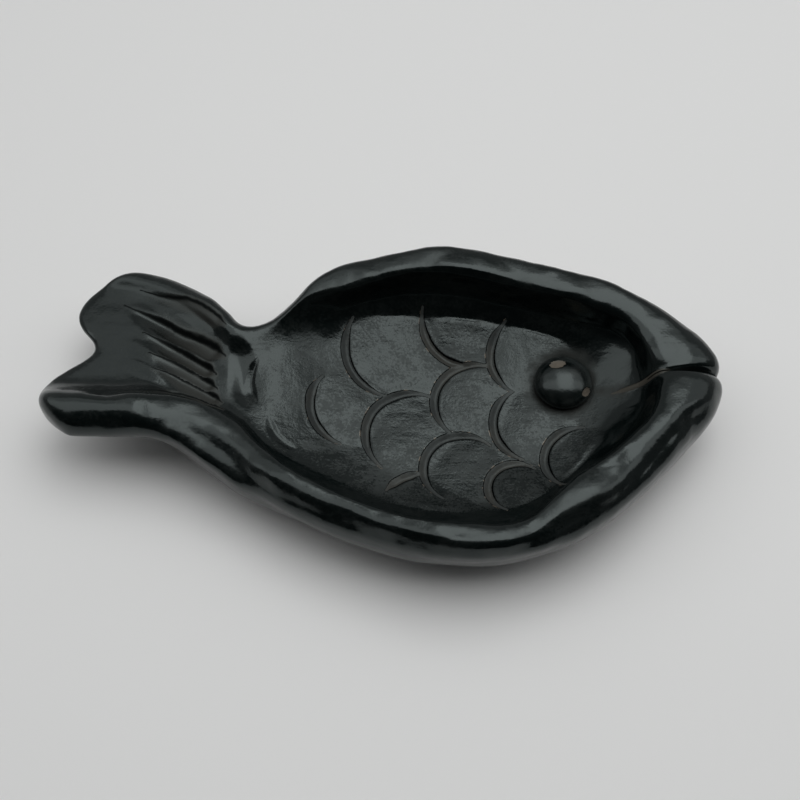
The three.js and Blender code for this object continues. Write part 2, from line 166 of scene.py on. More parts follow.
# Scale arcs: centre x and y, radius, first and last angle in degrees, share of the full depth
SCALE_ARCS = [
    (-15.0, 19.6, 13.8, 148, 258, 1.0),
    (4.7, 28.3, 12.7, 170, 281, 1.0),
    (6.5, 4.5, 11.4, 65, 232, 1.0),
    (2.4, -15.4, 10.4, 46, 238, 0.9),
    (-10.3, -5.5, 12.8, 70, 229, 1.0),
    (-26.1, 2.3, 11.5, 137, 252, 1.0),
    (-43.0, 6.6, 10.2, 140, 226, 0.8),
    (-38.8, -3.3, 9.0, 175, 266, 0.4),
    (-6.9, -29.1, 12.6, 97, 147, 0.9),
    (22.5, 18.0, 11.9, 130, 236, 1.0),
    (21.8, -1.7, 11.1, 119, 250, 1.0),
    (33.1, -13.1, 9.7, 83, 236, 1.0),
    (16.1, -21.1, 7.7, 51, 243, 1.0),
]
SCALE_WIDTH = 2.25
SCALE_DEPTH = 0.8
SCALES_SOFTENED = 1

# Arcs with no more than this share of the depth are too faint to be coloured
FAINT_SHARE = 0.85

# The burr beside a scale arc: its height, its place and spread in half widths, and the depth that ends it
BURR_HEIGHT = 0.1
BURR_PLACE = 1.25
BURR_SPREAD = 0.3
BURR_ENDS_AT = 0.15

# Gouges that draw the rays of the tail, each from the fork to the root, with its width and depth
TAIL_GOUGES = [
    ([(-88.5, 28.5), (-78.2, 23.2), (-73.0, 20.0), (-67.8, 17.9), (-60.5, 13.3)], 4.4, 2.0),
    ([(-82.1, 19.7), (-75.2, 15.7), (-70.0, 12.7), (-62.6, 8.2)], 4.2, 2.0),
    ([(-79.8, 13.3), (-73.3, 10.3), (-66.8, 6.7), (-62.0, 3.9)], 3.8, 1.8),
    ([(-78.5, 8.8), (-74.3, 7.3), (-69.2, 4.6), (-63.9, 1.9), (-60.2, -0.4)], 3.2, 1.4),
    ([(-84.8, 33.7), (-79.7, 31.8), (-72.2, 29.5), (-68.6, 27.6), (-64.6, 24.7), (-60.3, 21.0)], 2.8, 0.8),
    ([(-87.7, -0.3), (-80.3, -0.3), (-74.1, 0.9), (-68.4, 0.3), (-59.5, -2.9)], 2.6, 0.6),
]
TAIL_SOFTENED = 3

# The hollow across the tail root, where the fin was pressed on
HOLLOW_PATH = [(-57.6, 19.6), (-56.4, 14.6), (-55.4, 9.0), (-54.4, 4.0), (-52.5, -2.5)]
HOLLOW_WIDTH = 8.4
HOLLOW_DEPTH = 1.3

# The seam of slip inside the mouth, which runs a little way into the slit
SEAM_FROM_X = 42
SEAM_INTO_SLIT = 1
SEAM_WIDTH = 1.7
SEAM_HEIGHT = 0.55

# The lips roll in towards the slit, and the painted shade of the slit between them ends just under it
LIPS_FROM_X = 50
LIPS_TO_X = 72
LIPS_WIDTH = 2.2
LIPS_DEPTH = 1.5
LIPS_SHADE_UNDER_SLIT = 1

# The eye
EYE_PLACE = (29.7, 9.5)
EYE_FLOOR_Z = 8.98
EYE_DIAMETER = 15.4
EYE_HEIGHT = 9
EYE_SUNK = 2.6
EYE_SOCKET_GAP = 0.12

# Chips in the eye: place from its middle in plan, length and width, and turn
EYE_CHIPS = [
    ((-1.75, 3.5), (4.4, 2.8), math.radians(8)),
    ((5.6, -3.9), (3.2, 1.5), math.radians(48)),
]
CHIP_DEPTH = 0.3
CHIP_SLOPE = (1, 0.7)

# Slip smeared round the eye and towards the mouth: the line it lies along
SMEAR_LINE = [EYE_PLACE, (44, 5.2)]

# The part of the skin that counts as floor in the material, which starts in front of the tail
FLOOR_FACING = (0.8, 0.95)
FLOOR_BELOW_Z = (22, 17)
FLOOR_START = 4

# The head end of the floor is rubbed to a higher shine and painted darker as shade: where this starts and
# is full
SHINY_SHADED_HEAD_X = (34, 40)

# Camera of the photograph
VIEW_ELEVATION = math.radians(62)
VIEW_ANGLE = math.radians(42)
VIEW_DISTANCE = 272
VIEW_TARGET = (-14, 2, 15)

# Three softboxes over the dish: a small bright one inside a wide one, and a dim one behind them.
# Each has its place, its size and its brightness, in metres
SOFTBOX_HEIGHT = 0.75
SOFTBOXES = {
    "bright_softbox": ((0.15, 0.165), (0.5, 0.64), 2.2),
    "wide_softbox": ((-0.05, 0.03), (2.8, 0.45), 1.12),
    "dim_softbox": ((0.45, 0.475), (3.0, 0.48), 0.5),
}

# The room is brighter behind the dish than before it, with a soft change of this half width
ROOM_BEHIND = 0.29
ROOM_BEFORE = 0.02
ROOM_SPREAD = 0.6
ROOM_WHITE = (1, 1, 1, 1)

# The table, with half its length in metres
TABLE_HALF = 1.5
TABLE_COLOUR = (0.83, 0.835, 0.83)
TABLE_ROUGHNESS = 0.6

# Colours of the clay
CLAY_DARK = (0.0012, 0.0026, 0.0026)
CLAY_WORN = (0.0105, 0.0122, 0.0118)
BED_GREY = (0.022, 0.024, 0.0235)
BED_BROWN = (0.033, 0.032, 0.028)
SLIP_BROWN = (0.009, 0.0082, 0.0066)
SEAM_BROWN = (0.040, 0.034, 0.026)
# Black of the painted shade in the lines beside the grooves and the tail rays, and in the mouth slit
PAINTED_SHADE_BLACK = (0.0008, 0.0012, 0.0012)
CHIP_PALE = (0.15, 0.125, 0.098)
SHEEN = (0.88, 1.0, 0.985)

# Noise in the clay: scale and detail; the streaks are stretched along the fish
PATCHES = (85, 5)
BLOTCHES = (420, 5)
GRAIN = (1700, 3)
STREAKS = (1, 3)
STREAKS_STRETCH = (60, 800, 800)
RIPPLES = (230, 6)
BURR_FLAKES = (520, 4)
EYE_BLOTCHES = (260, 4)
EYE_GRAIN = (1400, 3)

# Wear: what patches and grain add to the blotches, from where on this is matte, and how much of it is left
# off the floor and at the head, where less wear colour is painted shade
WORN_PATCHES = 0.8
WORN_GRAIN = 0.7
MATTE_FROM = (0.25, 0.8)
MATTE_OFF_FLOOR = 0.35
MATTE_AT_SHADED_HEAD = 0.25

# Roughness: from shiny to matte, what the streaks add, and of each mark
CLAY_ROUGHNESS = (0.13, 0.48)
STREAKS_ROUGHNESS = 0.06
BED_ROUGHNESS = 0.5
SHADE_LINE_ROUGHNESS = 0.75
RAY_SHADE_LINE_ROUGHNESS = 0.7
SLIP_ROUGHNESS = 0.66
SEAM_ROUGHNESS = 0.6
LIPS_SHADE_ROUGHNESS = 0.8
EYE_ROUGHNESS = (0.1, 0.3)
CHIP_ROUGHNESS = 0.7

# Scale grooves in half widths across: how ragged they are, their bed, and the lines of painted shade and
# the burr on their sides, each with its two edges and how soft these are
GROOVE_RAGGED = 0.12
BED_EDGE = (1.1, 0.86)
BED_PATCHES = (0.45, 0.68)
INNER_SIDE = (0.1, 0.9)
OUTER_SIDE = (-0.1, -0.9)
INNER_SHADE_LINE = (0.84, 1.14, 0.06)
OUTER_SHADE_LINE = (0.98, 1.18, 0.05)
BURR_BAND = (1.1, 1.35, 0.06)
BURR_FLAKED = (0.56, 0.64)

# Tail rays, in the same way; their beds reach this far from the root, and their lines of painted shade lose
# shine in part
RAY_RAGGED = 0.3
RAY_BED_EDGE = (1.9, 0.8)
RAY_BED_REACH = (30, 10)
RAY_BED_SHARE = 0.6
RAY_SHADE_LINE = (0.45, 1.0, 0.2)
RAY_SHADE_LINE_SIDE = (0.3, 0.9)
RAY_SHADE_SHINELESS = 0.7

# Slip: how ragged its edges are, round the eye and along the smear, and how thin it gets in the blotches.
# The edges of the seam and of the painted shade between the lips are in half widths
SLIP_RAGGED = 3
HALO_EDGE = (3.5, 0.5)
WEDGE_EDGE = (3.6, 1.2)
SLIP_BLOTCHES = (0.3, 0.7)
SLIP_THIN = 0.5
SEAM_EDGE = (1.1, 0.5)
LIPS_SHADE_EDGE = (0.5, 0.2)

# Fine relief: its depth in metres, what each noise adds, and how much of it is left off the floor
BUMP_DEPTH = 0.0003
BUMP_GRAIN = 0.12
BUMP_STREAKS = 0.12
BUMP_RIPPLES = 0.5
BUMP_OFF_FLOOR = 0.3

# The same on the eye, and the edge of its wear and of its chips
EYE_BUMP_DEPTH = 0.00008
EYE_BUMP_GRAIN = 0.3
EYE_WORN_FROM = (0.4, 0.7)
CHIP_RAGGED = 0.3
CHIP_EDGE = (1.02, 0.86)

# Sockets of a Mix node by number: the share, then the two inputs and the output for values and for colours
MIX_SHARE = 0
MIX_VALUES, MIX_VALUE_OUT = (2, 3), 0
MIX_COLOURS, MIX_COLOUR_OUT = (6, 7), 2


def smoothstep(low, high, value):
    t = np.clip((value - low) / (high - low), 0, 1)
    return t * t * (3 - 2 * t)


def points_of(mesh):
    flat = np.empty(len(mesh.vertices) * 3)
    mesh.vertices.foreach_get("co", flat)
    return flat.reshape(-1, 3)


def normals_of(mesh):
    flat = np.empty(len(mesh.vertices) * 3, np.float32)
    mesh.vertex_normals.foreach_get("vector", flat)
    return flat.reshape(-1, 3).astype(float)


def facing_of(mesh):
    return normals_of(mesh)[:, 2]


def place_points(mesh, points):
    mesh.vertices.foreach_set("co", points.ravel())
    mesh.update()


def edges_of(mesh):
    flat = np.empty(len(mesh.edges) * 2, np.int32)
    mesh.edges.foreach_get("vertices", flat)
    return flat.reshape(-1, 2)


def new_object(name, data):
    made = bpy.data.objects.new(name, data)
    bpy.context.scene.collection.objects.link(made)
    return made


def mesh_from(bm, name):
    mesh = bpy.data.meshes.new(name)
    bm.to_mesh(mesh)
    bm.free()
    return mesh


def applied(obj):
    """The mesh of an object with its modifiers applied; the object itself goes away."""
    bpy.context.view_layer.update()
    seen = obj.evaluated_get(bpy.context.evaluated_depsgraph_get())
    mesh = bpy.data.meshes.new_from_object(seen)
    bpy.data.objects.remove(obj)
    return mesh


def swollen(node_name, amount):
    """A CAD node's mesh in millimetres, with its corners joined and moved outwards."""
    bm = bmesh.new()
    bm.from_mesh(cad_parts[node_name].data)
    bmesh.ops.remove_doubles(bm, verts=bm.verts, dist=SAME_CORNER)
    bmesh.ops.scale(bm, vec=(1 / MM, 1 / MM, 1 / MM), verts=bm.verts)
    bm.normal_update()
    moved = [vert.co + vert.normal * amount for vert in bm.verts]
    for vert, place in zip(bm.verts, moved):
        vert.co = place
    mesh = mesh_from(bm, node_name)
    if "custom_normal" in mesh.attributes:
        mesh.attributes.remove(mesh.attributes["custom_normal"])
    return mesh


def joined(meshes):
    bm = bmesh.new()
    for mesh in meshes:
        bm.from_mesh(mesh)
    return mesh_from(bm, "together")


def remeshed(mesh):
    obj = new_object("remesh", mesh)
    even = obj.modifiers.new("even", "REMESH")
    even.mode = "VOXEL"
    even.voxel_size = VOXEL
    return applied(obj)


def smoothed(mesh, rounds):
    obj = new_object("smooth", mesh)
    smooth = obj.modifiers.new("smooth", "SMOOTH")
    smooth.factor = SMOOTH_SHARE
    smooth.iterations = rounds
    return applied(obj)


def evened(mesh, shares, rounds):
    """Evens out the skin: in each round a point moves towards the middle of its neighbours by its share."""
    points = points_of(mesh)
    edges = edges_of(mesh)
    moving = (shares[edges] > 0).any(axis=1)
    used, edges = np.unique(edges[moving], return_inverse=True)
    edges = edges.reshape(-1, 2)
    ends = np.concatenate([edges[:, 0], edges[:, 1]])
    others = np.concatenate([edges[:, 1], edges[:, 0]])
    count = np.bincount(ends)[:, None]
    part = points[used]
    share = shares[used][:, None]
    for _ in range(rounds):
        sums = [np.bincount(ends, part[others, axis]) for axis in range(3)]
        part += (np.column_stack(sums) / count - part) * share
    points[used] = part
    place_points(mesh, points)


def combined(mesh, cutter, operation):
    """The mesh cut by another closed mesh, or added to it."""
    obj = new_object("cut", mesh)
    tool = new_object("tool", cutter)
    boolean = obj.modifiers.new("cut", "BOOLEAN")
    boolean.operation = operation
    boolean.solver = "MANIFOLD"
    boolean.object = tool
    result = applied(obj)
    bpy.data.objects.remove(tool)
    return result


def box_mesh(low, high):
    bm = bmesh.new()
    bmesh.ops.create_cube(bm, size=1)
    for vert in bm.verts:
        vert.co = [a if c < 0 else b for c, a, b in zip(vert.co, low, high)]
    return mesh_from(bm, "box")


def mouth_box(low, high):
    """A box along the line of the mouth: its first length runs out of the mouth, its second across it."""
    mesh = box_mesh(low, high)
    mesh.transform(Matrix.Translation((*MOUTH_POINT, 0)) @ Matrix.Rotation(MOUTH_SLANT, 4, "Z"))
    return mesh


def ellipsoid(allowance, rings=64):
    """The eye pellet, with its poles at the top and the bottom."""
    bm = bmesh.new()
    bmesh.ops.create_uvsphere(bm, u_segments=2 * rings, v_segments=rings, radius=1)
    across = EYE_DIAMETER / 2 + allowance
    bmesh.ops.scale(bm, vec=(across, across, EYE_HEIGHT / 2 + allowance), verts=bm.verts)
    centre_z = EYE_FLOOR_Z + EYE_HEIGHT / 2 - EYE_SUNK
    bmesh.ops.translate(bm, vec=(*EYE_PLACE, centre_z), verts=bm.verts)
    return mesh_from(bm, "ellipsoid")


def grown(values, edges, pick, rounds):
    """Each value becomes the largest, or the smallest, of itself and its neighbours, several times over."""
    for _ in range(rounds):
        before = values.copy()
        pick.at(values, edges[:, 0], before[edges[:, 1]])
        pick.at(values, edges[:, 1], before[edges[:, 0]])
    return values


def grooves_filled(mesh):
    """Fills the plain grooves of the CAD pieces, so that the finer marks can be cut in their place."""
    points = points_of(mesh)
    edges = edges_of(mesh)
    heights = grown(points[:, 2].copy(), edges, np.maximum, FILL_ROUNDS)
    heights = grown(heights, edges, np.minimum, FILL_ROUNDS)
    upward = facing_of(mesh) > FILL_FACING
    points[upward, 2] = np.maximum(points[upward, 2], heights[upward])
    place_points(mesh, points)
    return mesh


def beside(path, points):
    """How far along the path each point is, from 0 to 1, and its signed distance from the path."""
    path = np.asarray(path, float)
    steps = np.diff(path, axis=0)
    lengths = np.linalg.norm(steps, axis=1)
    starts = np.cumsum(lengths) - lengths
    nearest = np.full(len(points), np.inf)
    along = np.zeros(len(points))
    across = np.zeros(len(points))
    for start, step, length, before in zip(path, steps, lengths, starts):
        offset = points - start
        t = np.clip(offset @ step / length ** 2, 0, 1)
        distance = np.linalg.norm(offset - t[:, None] * step, axis=1)
        side = np.where(step[0] * offset[:, 1] > step[1] * offset[:, 0], 1, -1)
        closer = distance < nearest
        nearest[closer] = distance[closer]
        across[closer] = (side * distance)[closer]
        along[closer] = ((before + t * length) / lengths.sum())[closer]
    return along, across


def curve_through(corners, steps=8):
    """A smooth line through a few points."""
    corners = np.asarray(corners, float)
    padded = np.vstack([2 * corners[0] - corners[1], corners, 2 * corners[-1] - corners[-2]])
    line = []
    for a, b, c, d in zip(padded, padded[1:], padded[2:], padded[3:]):
        for t in np.arange(steps) / steps:
            bend = (2 * a - 5 * b + 4 * c - d) * t ** 2 + (3 * b - a - 3 * c + d) * t ** 3
            line.append(b + ((c - a) * t + bend) / 2)
    line.append(corners[-1])
    return np.array(line)


def arc(x, y, radius, first, last, steps=30):
    angles = np.radians(np.linspace(first, last, steps))
    return np.column_stack([x + radius * np.cos(angles), y + radius * np.sin(angles)])


def mouth_line(x):
    """Point in plan on the line of the mouth."""
    return (x, MOUTH_POINT[1] + (x - MOUTH_POINT[0]) * math.tan(MOUTH_SLANT))


class Mark:
    """A groove that a tool draws along a path in plan. A mark with a depth below 0 is a ridge."""

    def __init__(self, path, width, depth, slopes, fade=EVEN_FADE):
        self.path = np.asarray(path, float)
        self.half = width / 2
        self.depth = depth
        self.left, self.right = slopes
        self.fade = fade

    def read(self, points):
        """A mask of the near points, and for these the distance across in half widths and the share of
        the depth."""
        reach = self.half * FAR_ACROSS
        low, high = self.path.min(0) - reach, self.path.max(0) + reach
        near = np.all((points[:, :2] > low) & (points[:, :2] < high), axis=1)
        along, across = beside(self.path, points[near, :2])
        full = smoothstep(0, self.fade[0], along) * smoothstep(0, self.fade[1], 1 - along)
        return near, across / (self.half * (TIP_WIDTH + (1 - TIP_WIDTH) * full)), full

    def bed(self, across, full):
        return self.depth * full * smoothstep(*self.left, across) * smoothstep(*self.right, across)


SCALE_MARKS = [
    Mark(arc(x, y, radius, first, last), SCALE_WIDTH, SCALE_DEPTH * share, SCALE_SLOPES)
    for x, y, radius, first, last, share in SCALE_ARCS
]
CLEAR_MARKS = [mark for mark, scale in zip(SCALE_MARKS, SCALE_ARCS) if scale[-1] > FAINT_SHARE]
TAIL_MARKS = [
    Mark(curve_through(corners), width, depth, RAY_SLOPES, RAY_FADE)
    for corners, width, depth in TAIL_GOUGES
]
HOLLOW_MARK = Mark(curve_through(HOLLOW_PATH), HOLLOW_WIDTH, HOLLOW_DEPTH, ROUND_SLOPES)
SEAM_LINE = [mouth_line(SEAM_FROM_X), mouth_line(SLIT_INNER_X + SEAM_INTO_SLIT)]
SEAM_MARK = Mark(SEAM_LINE, SEAM_WIDTH, -SEAM_HEIGHT, ROUND_SLOPES)
LIPS_LINE = [mouth_line(LIPS_FROM_X), mouth_line(LIPS_TO_X)]
LIPS_MARK = Mark(LIPS_LINE, LIPS_WIDTH, LIPS_DEPTH, ROUND_SLOPES, LIPS_FADE)


def cut_marks(mesh, marks, burr_height=0):
    """Presses the marks down into what faces up, and pushes up a burr beside them."""
    points = points_of(mesh)
    facing = smoothstep(*MARKS_FACING, facing_of(mesh))
    drop = np.zeros(len(points))
    burr = np.zeros(len(points))
    for mark in marks:
        near, across, full = mark.read(points)
        bed = mark.bed(across, full)
        drop[near] = np.where(np.abs(bed) > np.abs(drop[near]), bed, drop[near])
        ridge = burr_height * np.exp(-((np.abs(across) - BURR_PLACE) / BURR_SPREAD) ** 2)
        burr[near] = np.maximum(burr[near], ridge)
    points[:, 2] += facing * (burr * (1 - smoothstep(0, BURR_ENDS_AT, drop)) - drop)
    place_points(mesh, points)


def nearness(points, marks):
    """Signed distance across the nearest mark in its half widths."""
    found = np.full(len(points), FAR_ACROSS)
    for mark in marks:
        near, across, _ = mark.read(points)
        found[near] = np.where(np.abs(across) < np.abs(found[near]), across, found[near])
    return found


def softened(mesh, marks, rounds):
    """Rubs over the marks."""
    evened(mesh, SMOOTH_SHARE * (np.abs(nearness(points_of(mesh), marks)) < FAR_ACROSS), rounds)


def dished(mesh):
    """Raises the edge of the floor, so that it runs into the walls."""
    points = points_of(mesh)
    outward = (((points[:, :2] - DISH_MIDDLE) / DISH_RADII) ** 2).sum(axis=1)
    rise = DISH_RISE * np.clip((outward - DISH_FLAT_SHARE) / (1 - DISH_FLAT_SHARE), 0, DISH_PAST_EDGE)
    inside = smoothstep(*DISH_FACING, facing_of(mesh)) * smoothstep(*DISH_BELOW_Z, points[:, 2])
    points[:, 2] += rise * inside * smoothstep(*DISH_FROM_X, points[:, 0])
    place_points(mesh, points)


def blended(mesh):
    """Rubs out the joins between the pieces, below the rims and all round the tail root."""
    points = points_of(mesh)
    below = 1 - smoothstep(*BLEND_BELOW_Z, points[:, 2])
    root = 1 - smoothstep(*BLEND_ROOT_REACH, np.abs(points[:, 0] - BLEND_ROOT_X))
    evened(mesh, SMOOTH_SHARE * np.maximum(below, root), BLEND_ROUNDS)


def corners_eased(mesh):
    points = points_of(mesh)
    low = smoothstep(*EASED_BELOW_Z, points[:, 2]) * smoothstep(*EASED_FACING, facing_of(mesh))
    for place, radius, rounds in EASED_CORNERS:
        apart = np.linalg.norm(points[:, :2] - place, axis=1)
        evened(mesh, SMOOTH_SHARE * low * smoothstep(radius, radius / 2, apart), rounds)


def rim_crest(points, first, last):
    """The highest line of a rim, in plan."""
    line = []
    for x in np.arange(first, last, CREST_STEP):
        strip = points[np.abs(points[:, 0] - x) < CREST_STEP / 2]
        top = strip[strip[:, 2] > strip[:, 2].max() - CREST_LAYER]
        line.append((x, top[:, 1].mean()))
    return np.array(line)


def beside_rim(points, side, depth, growth, heights, ends):
    """How far each point beside a rim moves, and a mask of these points."""
    first, full_from, full_to, last = ends
    sign = 1 if side == "back" else -1
    share = smoothstep(first, full_from, points[:, 0]) * smoothstep(last, full_to, points[:, 0])
    near = (share > 0) & (points[:, 1] * sign > 0)
    rim = points[near]
    outward = sign * beside(rim_crest(rim, first, last), rim[:, :2])[1]
    return depth * share[near] * smoothstep(*growth, outward) * smoothstep(*heights, rim[:, 2]), near


def rims_pressed(mesh):
    """Presses the outer shoulder of the belly rim and the root of the back rim in, as a thumb does, and
    leans the inner edge of the back rim over the bowl."""
    for press in RIM_PRESSES:
        points = points_of(mesh)
        depth, near = beside_rim(points, *press)
        points[near] -= normals_of(mesh)[near] * depth[:, None]
        place_points(mesh, points)
    points = points_of(mesh)
    lean, near = beside_rim(points, *LEAN_OVER)
    points[near, 1] -= lean
    place_points(mesh, points)


def pillowed(mesh):
    """Raises the middle of each scale."""
    points = points_of(mesh)
    rise = np.zeros(len(points))
    for x, y, radius, _, _, share in SCALE_ARCS:
        apart = np.hypot(points[:, 0] - x, points[:, 1] - y) / radius
        rise = np.maximum(rise, share * np.clip(1 - apart ** 2, 0, 1))
    points[:, 2] += PILLOW_HEIGHT * rise * smoothstep(*PILLOW_FACING, facing_of(mesh))
    place_points(mesh, points)


def lumped(mesh):
    """Presses the unevenness of hand work into the skin, but not into the flat underside."""
    points = points_of(mesh)
    normals = normals_of(mesh)
    press = np.zeros(len(points))
    for wavelength, height in LUMPS:
        spots = points / wavelength
        press += height * np.array([noise.noise(Vector(spot)) for spot in spots])
    press *= 1 + RIM_UNEVENNESS * smoothstep(*RIM_FROM_Z, points[:, 2])
    press *= smoothstep(0, BASE_KEPT_FLAT, points[:, 2])
    points += normals * (press - SWELL)[:, None]
    low, high = np.array(cad_box) / MM
    place_points(mesh, np.clip(points, low + BOX_MARGIN, high - BOX_MARGIN))


def fused_clay():
    plain = joined([swollen(node_name, SWELL) for node_name in CLAY_NODES])
    skin = smoothed(grooves_filled(remeshed(plain)), SMOOTH_ROUNDS)
    dished(skin)
    blended(skin)
    corners_eased(skin)
    rims_pressed(skin)
    pillowed(skin)
    lumped(skin)
    cut_marks(skin, [HOLLOW_MARK, SEAM_MARK])
    cut_marks(skin, [LIPS_MARK])
    cut_marks(skin, TAIL_MARKS)
    softened(skin, TAIL_MARKS + [HOLLOW_MARK], TAIL_SOFTENED)
    cut_marks(skin, SCALE_MARKS, BURR_HEIGHT)
    softened(skin, SCALE_MARKS, SCALES_SOFTENED)
    return skin


def island_of(vert, seen):
    """All points that hang together with this one."""
    island = [vert]
    seen.add(vert)
    for member in island:
        for edge in member.link_edges:
            other = edge.other_vert(member)
            if other not in seen:
                seen.add(other)
                island.append(other)
    return island


def without_crumbs(mesh):
    """Joins the points that a cut leaves almost in one place, and keeps the largest body without folds."""
    bm = bmesh.new()
    bm.from_mesh(mesh)
    bmesh.ops.remove_doubles(bm, verts=bm.verts, dist=CRUMB)
    bmesh.ops.dissolve_degenerate(bm, edges=bm.edges, dist=CRUMB)
    seen = set()
    islands = [island_of(vert, seen) for vert in bm.verts if vert not in seen]
    islands.sort(key=len)
    crumbs = [vert for island in islands[:-1] for vert in island]
    bmesh.ops.delete(bm, geom=crumbs, context="VERTS")
    bmesh.ops.triangulate(bm, faces=bm.faces)
    copies = Counter(frozenset(face.verts) for face in bm.faces)
    folds = [face for face in bm.faces if copies[frozenset(face.verts)] > 1]
    bmesh.ops.delete(bm, geom=folds, context="FACES")
    bm.to_mesh(mesh)
    bm.free()
    return mesh


def wall_tool(node_name, side):
    """The room of a wall on its side of the mouth: round the CAD wall, and all above the floor."""
    above = box_mesh((-FAR, -FAR, WALLS_FROM_Z), (FAR, FAR, FAR))
    return combined(combined(swollen(node_name, WALL_MARGIN), above, "UNION"), side, "INTERSECT")


def parted(skin):
    """The skin parted into the tail, the two walls and the floor, with the mouth slit and the eye's socket
    cut out."""
    slit_low = (SLIT_INNER_X - MOUTH_POINT[0], -SLIT_WIDTH / 2, SLIT_BOTTOM_Z)
    slit_high = (SLIT_OUTER_X - MOUTH_POINT[0], SLIT_WIDTH / 2, SLIT_TOP_Z)
    skin = combined(skin, mouth_box(slit_low, slit_high), "DIFFERENCE")
    behind = box_mesh((-FAR, -FAR, -FAR), (TAIL_CUT_X, FAR, FAR))
    tail = combined(skin.copy(), behind.copy(), "INTERSECT")
    bowl = combined(skin, behind, "DIFFERENCE")
    back_tool = wall_tool("back_wall", mouth_box((-FAR, 0, -FAR), (FAR, FAR, FAR)))
    belly_tool = wall_tool("belly_wall", mouth_box((-FAR, -FAR, -FAR), (FAR, WALLS_OVERLAP, FAR)))
    back = combined(bowl.copy(), back_tool.copy(), "INTERSECT")
    belly = combined(bowl.copy(), belly_tool.copy(), "INTERSECT")
    floor = combined(bowl, back_tool, "DIFFERENCE")
    floor = combined(floor, belly_tool, "DIFFERENCE")
    floor = combined(floor, ellipsoid(EYE_SOCKET_GAP), "DIFFERENCE")
    pieces = {"floor_slab": floor, "back_wall": back, "belly_wall": belly, "tail_fin": tail}
    return {name: without_crumbs(mesh) for name, mesh in pieces.items()}


def new_material(name):
    material = bpy.data.materials.new(name)
    material.use_nodes = True
    return material, material.node_tree


def node(tree, kind, inputs, **settings):
    """A new node whose inputs are values, or sockets of other nodes."""
    made = tree.nodes.new(kind)
    for name, value in settings.items():
        setattr(made, name, value)
    for name, value in inputs.items():
        if isinstance(value, bpy.types.NodeSocket):
            tree.links.new(value, made.inputs[name])
        else:
            made.inputs[name].default_value = value
    return made


def noise_field(tree, place, scale, detail):
    made = node(tree, "ShaderNodeTexNoise", {"Vector": place, "Scale": scale, "Detail": detail})
    return made.outputs["Fac"]


def stepped(tree, value, low, high):
    """0 at the low value, 1 at the high one and smooth between them."""
    ends = {"Value": value, "From Min": low, "From Max": high}
    return node(tree, "ShaderNodeMapRange", ends, interpolation_type="SMOOTHSTEP").outputs["Result"]


def scaled(tree, value, low, high):
    """A value from 0 to 1 taken to the range from low to high."""
    ends = {"Value": value, "To Min": low, "To Max": high}
    return node(tree, "ShaderNodeMapRange", ends).outputs["Result"]


def swinging(tree, value, amount):
    """A value from 0 to 1 taken to as much below 0 as above it."""
    return scaled(tree, value, -amount, amount)


def calculated(tree, operation, first, second):
    return node(tree, "ShaderNodeMath", {0: first, 1: second}, operation=operation).outputs[0]


def sum_of(tree, first, second):
    return calculated(tree, "ADD", first, second)


def larger(tree, first, second):
    return calculated(tree, "MAXIMUM", first, second)


def product(tree, first, second):
    return calculated(tree, "MULTIPLY", first, second)


def band(tree, value, low, high, soft):
    """1 between two values, with soft ends."""
    above = stepped(tree, value, low - soft, low + soft)
    below = stepped(tree, value, high + soft, high - soft)
    return product(tree, above, below)


def mixed(tree, share, first, second):
    """Two colours mixed; a plain colour is given as three values."""
    inputs = {MIX_SHARE: share}
    for socket, colour in zip(MIX_COLOURS, (first, second)):
        inputs[socket] = (*colour, 1) if isinstance(colour, tuple) else colour
    return node(tree, "ShaderNodeMix", inputs, data_type="RGBA").outputs[MIX_COLOUR_OUT]


def mixed_value(tree, share, first, second):
    inputs = {MIX_SHARE: share, MIX_VALUES[0]: first, MIX_VALUES[1]: second}
    return node(tree, "ShaderNodeMix", inputs, data_type="FLOAT").outputs[MIX_VALUE_OUT]


def field(tree, name):
    return node(tree, "ShaderNodeAttribute", {}, attribute_name=name).outputs["Fac"]


def finish_shader(tree, colour, roughness, height, depth):
    bump = node(tree, "ShaderNodeBump", {"Height": height, "Strength": 1.0, "Distance": depth})
    shader = tree.nodes["Principled BSDF"]
    shader.inputs["Specular Tint"].default_value = (*SHEEN, 1)
    tree.links.new(colour, shader.inputs["Base Color"])
    tree.links.new(roughness, shader.inputs["Roughness"])
    tree.links.new(bump.outputs["Normal"], shader.inputs["Normal"])
    return shader


